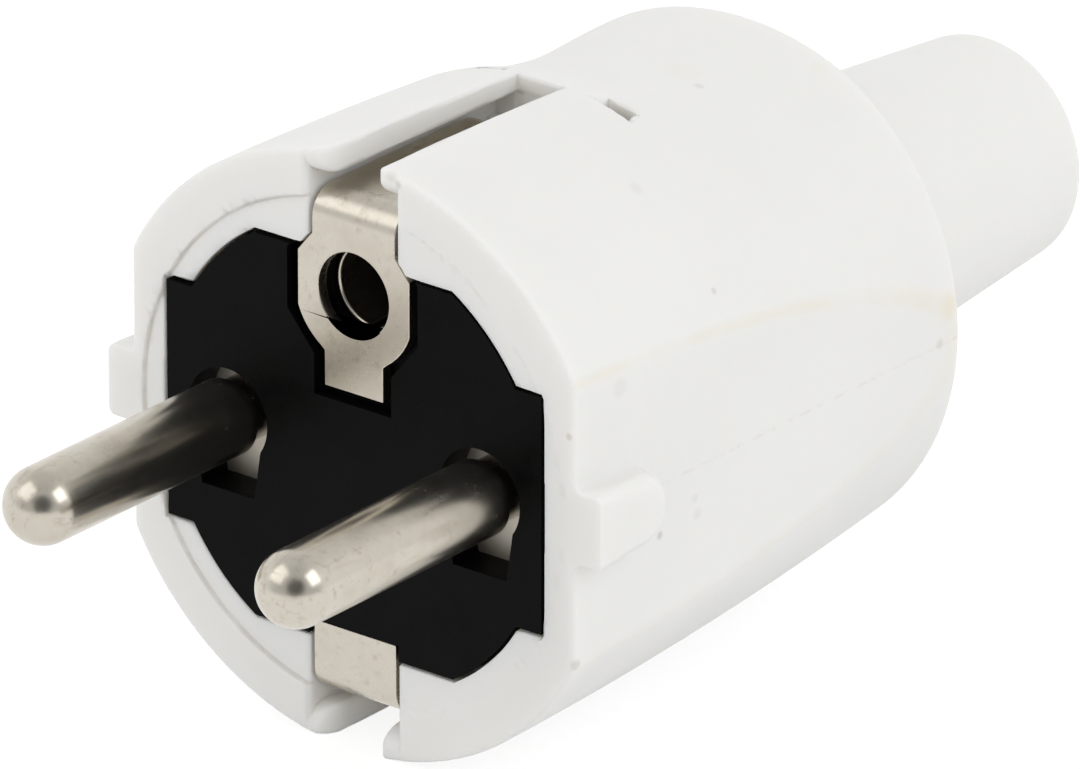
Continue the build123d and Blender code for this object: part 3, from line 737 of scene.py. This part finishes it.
def stretched(tree, vector, scale, turn=(0.0, 0.0, 0.0)):
    """Coordinates turned and then scaled by different amounts, for streaks."""
    made = add(tree, "Mapping", Vector=vector, Scale=scale, Rotation=turn)
    return made.outputs["Vector"]


def scratches(tree, vector, turn, scale, size, share):
    """Fine straight scratches: specks in coordinates that are squeezed along one direction."""
    squeezed = stretched(tree, vector, (1.0, 1.0, 0.035), turn)
    return speckled(tree, squeezed, scale, size, share)


def material(name):
    """An empty node material; gives it, its tree, its Principled shader and Object coordinates."""
    made = bpy.data.materials.new(name)
    made.use_nodes = True
    tree = made.node_tree
    shader = tree.nodes["Principled BSDF"]
    place = add(tree, "TexCoord").outputs["Object"]
    return made, tree, shader, place


def connect(tree, shader, surface_colour, rough, normal):
    """Feeds a shader's colour, roughness and normal."""
    tree.links.new(surface_colour, shader.inputs["Base Color"])
    tree.links.new(rough, shader.inputs["Roughness"])
    tree.links.new(normal, shader.inputs["Normal"])


def bump(tree, height, depth, under=None):
    """A bump of that depth in metres, on top of another one if it is given."""
    made = add(tree, "Bump", Height=height, Distance=depth, Strength=1.0)
    if under is not None:
        tree.links.new(under, made.inputs["Normal"])
    return made.outputs["Normal"]


def spot(tree, place, centre, radius):
    """A round mark: 1 at its centre and 0 outside its radius, both in millimetres."""
    apart = add(tree, "VectorMath", {"operation": "DISTANCE"})
    feed(tree, apart.inputs[0], place)
    feed(tree, apart.inputs[1], [v * MM for v in centre])
    return remap(tree, apart.outputs["Value"], 0.3 * radius * MM, radius * MM, 1.0, 0.0)


def line(tree, offset, half_width):
    """A thin soft line where an offset in metres is zero; its half width is in millimetres."""
    apart = maths(tree, "ABSOLUTE", offset)
    return remap(tree, apart, 0.3 * half_width * MM, half_width * MM, 1.0, 0.0)


def lay_tint(tree, colour_so_far, mask, strength, tint):
    """A colour with a tint laid over it where the mask is: stains, dirt and yellowing, and in a few
    places painted shade.
    """
    return blend_colours(tree, times(tree, mask, strength), colour_so_far, tint)


def housing_finish(colours):
    """Soft white moulding: faint clouds, a yellowed crease, a parting line, dirt, painted shade in
    its hollows, round the rim's recess and in two marks, and a grain.
    """
    made, tree, shader, place = material("soft_white_moulding")
    split = add(tree, "SeparateXYZ", Vector=place).outputs
    side = maths(tree, "ABSOLUTE", split["X"])
    from_crease = add(tree, "Attribute", {"attribute_name": "from_crease"}).outputs["Fac"]
    hollow_shade_and_yellowing = add(tree, "Attribute", {"attribute_name": "hollow_shade_and_yellowing"}).outputs["Fac"]
    tone = cloudy(tree, place, 70.0, 0.3, 0.7)
    white = blend_colours(tree, tone, colours.white, [v * 0.985 for v in colours.white])
    patches = cloudy(tree, place, 260.0, 0.34, 0.60)
    uneven = maths(tree, "ADD", times(tree, patches, 0.7), 0.3)

    upper = remap(tree, split["Z"], -1.0 * MM, 3.0 * MM, 0.45, 1.0)
    crease = times(tree, remap(tree, from_crease, 0.03, 0.24, 1.0, 0.0), upper)
    white = lay_tint(tree, white, times(tree, crease, uneven), 0.30, colours.yellowed)

    dashes = cloudy(tree, place, 900.0, 0.46, 0.56)
    parting = times(tree, line(tree, split["Z"], 0.16), dashes)
    parting = times(tree, parting, remap(tree, side, 16.3 * MM, 16.6 * MM))
    parting = times(tree, parting, remap(tree, split["Y"], 7.5 * MM, 9.5 * MM))
    white = lay_tint(tree, white, parting, 0.11, colours.grime_and_shade)

    # A dark line round the edge of the rim's recess, stronger on the left: partly dirt, partly
    # painted shade of the recess's wall.
    dirt_and_shade_edge = 15.93 * MM
    upright = stretched(tree, place, (1, 0, 1))
    across = add(tree, "VectorMath", {"operation": "LENGTH"}, Vector=upright)
    rim = line(tree, maths(tree, "SUBTRACT", across.outputs["Value"], dirt_and_shade_edge), 0.17)
    rim = times(tree, rim, remap(tree, split["Y"], 0.40 * MM, 0.60 * MM, 1.0, 0.0))
    rim = times(tree, rim, remap(tree, split["X"], 3.0 * MM, -3.0 * MM))
    white = lay_tint(tree, white, times(tree, rim, uneven), 0.32, colours.grime_and_shade)

    # Hollows get a faint yellow tint from the mask of how sheltered each point is: partly
    # yellowing, partly painted shade.
    shade = remap(tree, hollow_shade_and_yellowing, 0.45, 1.0)
    white = lay_tint(tree, white, times(tree, shade, uneven), 0.10, colours.yellowed)
    for centre, radius, strength, tint in HOUSING_MARKS:
        mark = spot(tree, place, centre, radius)
        white = lay_tint(tree, white, mark, strength, getattr(colours, tint))
    specks = speckled(tree, place, 330.0, 0.05, 0.03)
    white = lay_tint(tree, white, specks, 0.40, colours.grime_and_shade)
    scuffs = scratches(tree, place, (1.2, 0.4, 0.7), 330.0, 0.03, 0.03)
    white = lay_tint(tree, white, scuffs, 0.12, colours.grime_and_shade)
    rough = remap(tree, tone, 0.0, 1.0, 0.42, 0.50)
    grain = add(tree, "TexNoise", Vector=place, Scale=6500.0, Detail=3.0).outputs["Fac"]
    swell = add(tree, "TexNoise", Vector=place, Scale=240.0, Detail=1.0).outputs["Fac"]
    normal = bump(tree, swell, 0.00004)
    normal = bump(tree, grain, 0.000005, under=normal)
    normal = bump(tree, maths(tree, "SUBTRACT", 1.0, scuffs), 0.000006, under=normal)
    connect(tree, shader, white, rough, normal)
    shader.inputs["Subsurface Weight"].default_value = 0.5
    shader.inputs["Subsurface Radius"].default_value = (1.0, 0.9, 0.75)
    shader.inputs["Subsurface Scale"].default_value = 0.0014
    shader.inputs["Specular IOR Level"].default_value = 0.38
    return made


def carrier_finish(colours):
    """Hard black moulding: a fine satin grain, pale dust specks and a few rubbed marks."""
    made, tree, shader, place = material("hard_black_moulding")
    dust = speckled(tree, place, 800.0, 0.10, 0.03)
    rubbed = scratches(tree, place, (0.3, 1.2, 0.2), 500.0, 0.03, 0.04)
    tone = cloudy(tree, place, 300.0, 0.35, 0.7)
    black = blend_colours(tree, tone, colours.black, [v * 1.8 for v in colours.black])
    black = blend_colours(tree, times(tree, rubbed, 0.05), black, (0.5, 0.5, 0.5))
    black = blend_colours(tree, times(tree, dust, 0.25), black, (0.6, 0.58, 0.55))
    rough = remap(tree, tone, 0.0, 1.0, 0.36, 0.50)
    grain = add(tree, "TexNoise", Vector=place, Scale=5200.0, Detail=2.0).outputs["Fac"]
    connect(tree, shader, black, rough, bump(tree, grain, 0.000010))
    shader.inputs["Specular IOR Level"].default_value = 0.05
    return made


def plated_finish(name, colours, along, worn, smooth):
    """Nickel plating, brushed along one direction, with tarnish, stains, pits and fine scratches.

    `worn` is how far the tarnish goes, and `smooth` is the roughness of clean plating.
    """
    made, tree, shader, place = material(name)
    clouds = cloudy(tree, place, 260.0, 0.40, 0.80)
    stains = cloudy(tree, place, 1400.0, 0.52, 0.74)
    lengthwise = stretched(tree, place, along)
    streaks = cloudy(tree, lengthwise, 1300.0, 0.5, 0.8)
    tarnish = maths(tree, "MAXIMUM", stains, streaks)
    tarnish = maths(tree, "MAXIMUM", times(tree, clouds, 0.7), tarnish)
    metal = lay_tint(tree, colours.nickel, tarnish, worn, colours.tarnish)
    pits = speckled(tree, place, 1500.0, 0.14, 0.06)
    metal = lay_tint(tree, metal, pits, 0.55, [v * 0.25 for v in colours.tarnish])
    brushed = add(tree, "TexNoise", Vector=lengthwise, Scale=2600.0, Detail=3.0)
    brushed = brushed.outputs["Fac"]
    marks = scratches(tree, place, (1.1, 0.5, 0.3), 900.0, 0.05, 0.10)
    rough = remap(tree, clouds, 0.0, 1.0, smooth, smooth + 0.05)
    rough = maths(tree, "ADD", rough, times(tree, brushed, 0.08))
    normal = bump(tree, brushed, 0.000004)
    normal = bump(tree, maths(tree, "SUBTRACT", 1.0, marks), 0.000006, under=normal)
    normal = bump(tree, maths(tree, "SUBTRACT", 1.0, pits), 0.00001, under=normal)
    connect(tree, shader, metal, rough, normal)
    shader.inputs["Metallic"].default_value = 1.0
    return made


def steel_finish(colours):
    """Zinc plated steel: a dull grey with cloudy tone and a fine turned grain."""
    made, tree, shader, place = material("zinc_plated_steel")
    tone = cloudy(tree, place, 500.0, 0.4, 0.7)
    steel = blend_colours(tree, tone, colours.steel, [v * 0.7 for v in colours.steel])
    rough = remap(tree, tone, 0.0, 1.0, 0.32, 0.48)
    grain = add(tree, "TexNoise", Vector=place, Scale=5000.0, Detail=2.0).outputs["Fac"]
    connect(tree, shader, steel, rough, bump(tree, grain, 0.000006))
    shader.inputs["Metallic"].default_value = 1.0
    return made


def wear(piece, finish):
    """Puts one material on a piece."""
    piece.data.materials.clear()
    piece.data.materials.append(finish)


class PLUG_OT_housing(bpy.types.Operator):
    """Make the soft white housing"""

    bl_idname = "plug.housing"
    bl_label = "Housing"

    def execute(self, context):
        sizes = in_millimetres(context.scene.plug_housing)

        def distance(x, y, z):
            return housing_distance(sizes, x, y, z)

        xs = both_ways(graded([0, 1.8, 7.6, 15.6, 19.2], [0.4, 0.22, 0.5, 0.32]))
        ys = graded(
            [-0.4, 0.8, 2.8, 16.4, 20.4, 30.0, 35.6, 38.0, 60.0, 61.8],
            [0.12, 0.24, 0.6, 0.22, 0.44, 0.5, 0.22, 0.7, 0.24],
        )
        zs = both_ways(graded([0, 1.4, 3.2, 14.6, 19.2], [0.45, 0.26, 0.5, 0.26]))
        points, faces = zero_surface(distance, xs, ys, zs)
        points = settle(distance, points, 0.2)
        normals = unit(slope_at(distance, points))
        piece = new_piece("housing_moulding", points, faces, normals)

        side, flat = barrel_skin(sizes, *points.T)
        point_mask(piece, "from_crease", np.abs(side - flat) + np.abs(np.maximum(side, flat)))
        # A mask of hollows: how far the distance falls short 0.7 mm out along the normal, for the
        # material's yellowing and painted shade.
        open_air = distance(*(points + 0.7 * normals).T) / 0.7
        point_mask(piece, "hollow_shade_and_yellowing", np.clip(1 - open_air, 0, 1))
        wear(piece, housing_finish(context.scene.plug_colours))
        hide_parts("housing")
        return {"FINISHED"}


class PLUG_OT_carrier(bpy.types.Operator):
    """Make the black face piece and the black pieces behind it"""

    bl_idname = "plug.carrier"
    bl_label = "Face piece"

    def execute(self, context):
        finish = carrier_finish(context.scene.plug_colours)
        face = beveled_copy(
            "contact_carrier",
            "face_piece",
            context.scene.plug_metal.face_edge,
            straighten_sides,
        )
        wear(face, finish)
        for node in ("carrier_back", "cord_clamp"):
            wear(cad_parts[node], finish)
        return {"FINISHED"}


class PLUG_OT_pins(bpy.types.Operator):
    """Turn the two pins"""

    bl_idname = "plug.pins"
    bl_label = "Pins"

    def execute(self, context):
        sizes = in_millimetres(context.scene.plug_metal)
        radius, neck, spigot = sizes.pin_radius, sizes.pin_neck_radius, sizes.spigot_radius
        projection, seat = sizes.pin_projection, sizes.pin_seat
        dome = np.linspace(0.06, 1, 16) * math.pi / 2
        profile = [(radius * math.sin(a), -projection + radius * (1 - math.cos(a))) for a in dome]
        profile += [(radius, y) for y in np.linspace(radius - projection + 0.6, -0.05, 12)]
        profile += [(radius - 0.05, 0), (neck, 0), (neck, seat), (spigot, seat)]
        profile += [(spigot, seat + sizes.spigot_length)]
        colours = context.scene.plug_colours
        finish = plated_finish("nickel_pins", colours, (1.0, 0.12, 1.0), worn=0.45, smooth=0.19)
        for name, side in (("left_pin", -1), ("right_pin", 1)):
            points, faces = lathe(profile, side * sizes.pin_offset, 96)
            piece = new_piece(name + "_turned", points, faces)
            piece.data.set_sharp_from_angle(angle=math.radians(40))
            wear(piece, finish)
            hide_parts(name)
        return {"FINISHED"}


class PLUG_OT_earth(bpy.types.Operator):
    """Make the earth strap and its sleeve"""

    bl_idname = "plug.earth"
    bl_label = "Earth strap"

    def execute(self, context):
        colours = context.scene.plug_colours
        finish = plated_finish("nickel_strip", colours, (1.0, 0.3, 1.0), worn=0.32, smooth=0.24)
        edge = context.scene.plug_metal.strip_edge
        strap = beveled_copy("earth_strap", "earth_strip", edge, round_plate)
        wear(strap, finish)
        sleeve = beveled_copy("earth_sleeve", "earth_tube", 2 * edge)
        wear(sleeve, finish)
        return {"FINISHED"}


class PLUG_OT_inside(bpy.types.Operator):
    """Finish the terminals, screws and guards inside"""

    bl_idname = "plug.inside"
    bl_label = "Inside pieces"

    def execute(self, context):
        colours = context.scene.plug_colours
        plated = plated_finish("nickel_blocks", colours, (1.0, 1.0, 1.0), worn=0.2, smooth=0.42)
        steel = steel_finish(colours)
        for node in ("left_terminal", "right_terminal", "earth_washer"):
            wear(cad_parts[node], plated)
        paired = ("terminal_screw", "wire_guard", "clamp_screw")
        pairs = [f"{side}_{name}" for name in paired for side in ("left", "right")]
        for node in ("earth_nut", "earth_screw", "carrier_screw", *pairs):
            wear(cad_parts[node], steel)
        return {"FINISHED"}


def area_lamp(name, place, aim, size, power, tint):
    """A square soft lamp at a place, turned towards a point, in metres and watts."""
    lamp = bpy.data.lights.new(name, "AREA")
    lamp.shape = "RECTANGLE"
    lamp.size = lamp.size_y = size
    lamp.energy = power
    lamp.color = tint
    made = bpy.data.objects.new(name, lamp)
    made.location = place
    made.rotation_euler = (Vector(aim) - Vector(place)).to_track_quat("-Z", "Y").to_euler()
    bpy.context.scene.collection.objects.link(made)


def seen_plainly(tree):
    """1 for the camera's rays and those that metal or glass sends on, and whether metal did."""
    rays = add(tree, "LightPath").outputs
    seen = maths(tree, "MAXIMUM", rays["Is Camera Ray"], rays["Is Glossy Ray"])
    return maths(tree, "MAXIMUM", seen, rays["Is Transmission Ray"]), rays["Is Glossy Ray"]


def make_floor(height, colour):
    """A square floor: white to the camera, with the plug's shadow on it, and pale to the light."""
    mesh = bpy.data.meshes.new("floor")
    half_width = 4.0
    ways = ((-1, -1), (1, -1), (1, 1), (-1, 1))
    corners = [(across * half_width, along * half_width, height) for across, along in ways]
    mesh.from_pydata(corners, [], [(0, 1, 2, 3)])
    floor = bpy.data.objects.new("floor", mesh)
    bpy.context.scene.collection.objects.link(floor)
    floor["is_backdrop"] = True
    made = bpy.data.materials.new("pale_floor")
    made.use_nodes = True
    tree = made.node_tree
    tree.nodes.clear()
    seen, _ = seen_plainly(tree)
    plain = add(tree, "BsdfDiffuse", Color=(*colour, 1.0))
    shade = add(tree, "BsdfDiffuse", Color=(0.22, 0.22, 0.22, 1.0))
    glow = add(tree, "Emission", Strength=0.86)
    lit = add(tree, "AddShader")
    tree.links.new(shade.outputs[0], lit.inputs[0])
    tree.links.new(glow.outputs[0], lit.inputs[1])
    mixed = add(tree, "MixShader")
    tree.links.new(seen, mixed.inputs[0])
    tree.links.new(plain.outputs[0], mixed.inputs[1])
    tree.links.new(lit.outputs[0], mixed.inputs[2])
    add(tree, "OutputMaterial", Surface=mixed.outputs[0])
    floor.data.materials.append(made)


def make_room():
    """A white room that is a little darker overhead; metal also mirrors its dark part."""
    world = bpy.data.worlds.new("soft_room")
    bpy.context.scene.world = world
    world.use_nodes = True
    tree = world.node_tree
    tree.nodes.clear()
    seen, glossy = seen_plainly(tree)
    direction = add(tree, "TexCoord").outputs["Generated"]
    towards = add(tree, "VectorMath", {"operation": "DOT_PRODUCT"})
    feed(tree, towards.inputs[0], direction)
    feed(tree, towards.inputs[1], DARK_WAY)
    front = remap(tree, towards.outputs["Value"], -0.1, 0.6, 0.0, 0.40)
    dark = remap(tree, towards.outputs["Value"], 0.84, 0.97, 0.0, 0.48)
    height = add(tree, "SeparateXYZ", Vector=direction).outputs["Z"]
    above = remap(tree, height, 0.35, 0.95, 0.0, 0.30)
    taken = maths(tree, "MAXIMUM", maths(tree, "ADD", front, dark), above)
    mirrored = maths(tree, "SUBTRACT", 1.0, times(tree, glossy, taken))
    plain = maths(tree, "SUBTRACT", 0.95, times(tree, above, 0.9))
    strength = times(tree, seen, maths(tree, "SUBTRACT", mirrored, plain))
    strength = maths(tree, "ADD", strength, plain)
    sky = add(tree, "Background", Color=(1.0, 1.0, 1.0, 1.0), Strength=strength)
    add(tree, "OutputWorld", Surface=sky.outputs[0])


def make_camera():
    """The camera, where the picture was taken from: its sensor is square to the way back to it."""
    azimuth, elevation = math.radians(CAMERA_AZIMUTH), math.radians(CAMERA_ELEVATION)
    pixel = CAMERA_DISTANCE / FOCAL_LENGTH
    right = Vector((math.cos(azimuth), math.sin(azimuth), 0))
    level = math.cos(elevation)
    back = Vector((math.sin(azimuth) * level, -math.cos(azimuth) * level, math.sin(elevation)))
    up = back.cross(right)
    camera = bpy.data.objects.new("camera", bpy.data.cameras.new("camera"))
    camera.data.sensor_width = 36.0
    camera.data.lens = 36.0 * (FOCAL_LENGTH / IMAGE_WIDTH)
    camera.data.clip_start = 0.05
    camera.data.clip_end = 20.0
    across, down = IMAGE_WIDTH / 2 - ORIGIN_ACROSS, IMAGE_HEIGHT / 2 - ORIGIN_DOWN
    place = back * CAMERA_DISTANCE + right * across * pixel - up * down * pixel
    turn = Matrix((right, up, back)).transposed().to_4x4()
    camera.matrix_world = Matrix.Translation(place) @ turn
    bpy.context.scene.collection.objects.link(camera)
    bpy.context.scene.camera = camera


class PLUG_OT_stage(bpy.types.Operator):
    """Make the floor, the soft light and the camera"""

    bl_idname = "plug.stage"
    bl_label = "Stage"

    def execute(self, context):
        low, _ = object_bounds()
        make_floor(low.z, context.scene.plug_colours.floor)
        make_room()
        aim = (0.0, 0.02, 0.0)
        area_lamp("front_lamp", (-0.39, -0.60, 0.70), aim, 0.76, 1.5, (1.0, 0.99, 0.97))
        area_lamp("side_lamp", (0.78, 0.20, 0.60), aim, 0.6, 1.8, (0.98, 0.99, 1.0))
        make_camera()
        context.scene.view_settings.view_transform = "Standard"
        return {"FINISHED"}


OPERATORS = (
    PLUG_OT_housing,
    PLUG_OT_carrier,
    PLUG_OT_pins,
    PLUG_OT_earth,
    PLUG_OT_inside,
    PLUG_OT_stage,
)


GROUPS = {
    "plug_housing": PlugHousingSizes,
    "plug_metal": PlugMetalSizes,
    "plug_colours": PlugColours,
}


class PLUG_PT_panel(bpy.types.Panel):
    """Lists the plug's operators, sizes and colours"""

    bl_idname = "PLUG_PT_panel"
    bl_label = "Grounded Plug"
    bl_space_type = "VIEW_3D"
    bl_region_type = "UI"
    bl_category = "Plug"

    def draw(self, context):
        for operator in OPERATORS:
            self.layout.operator(operator.bl_idname)
        for name, group in GROUPS.items():
            for size in group.__annotations__:
                self.layout.prop(getattr(context.scene, name), size)


CLASSES = (*GROUPS.values(), *OPERATORS, PLUG_PT_panel)


def register():
    """Adds the classes and the scene's three property groups."""
    for made in CLASSES:
        bpy.utils.register_class(made)
    for name, group in GROUPS.items():
        setattr(bpy.types.Scene, name, bpy.props.PointerProperty(type=group))


def unregister():
    """Takes the property groups and the classes away again."""
    for name in GROUPS:
        delattr(bpy.types.Scene, name)
    for made in reversed(CLASSES):
        bpy.utils.unregister_class(made)


def main():
    """Registers the classes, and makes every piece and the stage."""
    register()
    for operator in OPERATORS:
        group, name = operator.bl_idname.split(".")
        getattr(getattr(bpy.ops, group), name)()


if __name__ == "__main__":
    main()
